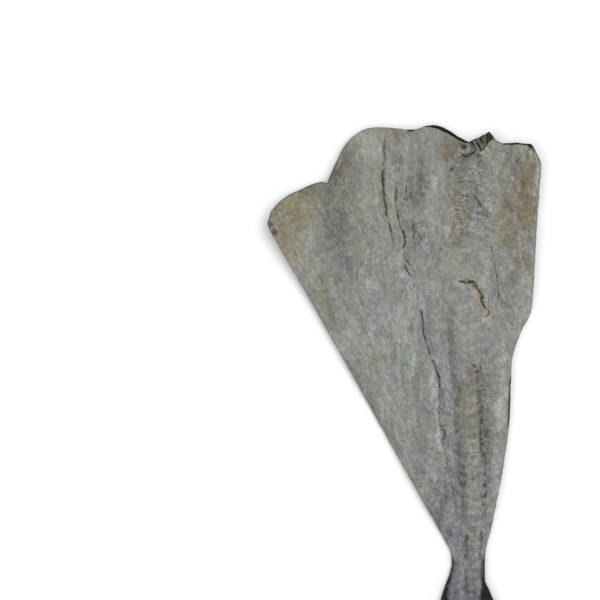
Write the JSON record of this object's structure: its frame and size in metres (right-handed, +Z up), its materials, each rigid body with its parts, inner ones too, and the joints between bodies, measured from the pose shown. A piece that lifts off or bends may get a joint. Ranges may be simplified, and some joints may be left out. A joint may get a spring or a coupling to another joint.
{
  "type": "dried salted pollock",
  "caption": "Dried salted pollock, headless and split open flat, cut side up, with loins, belly flaps, the rear of the backbone and the tail fin.",
  "frame": {"origin": "on the table, under the middle of the fish's box", "axes": "+Y from the tail fin to the nape, +X to the right seen from above, +Z up through the cut side"},
  "size_m": [0.2712, 0.5212, 0.0208],
  "materials": {
    "dried_meat": "matt, salty, fibrous",
    "dried_skin": "satin, fine scales",
    "fin": "satin, ribbed",
    "salt": "crystalline"
  },
  "bodies": {
    "root": {"split_pollock": "dried_meat"}
  },
  "joints": []
}
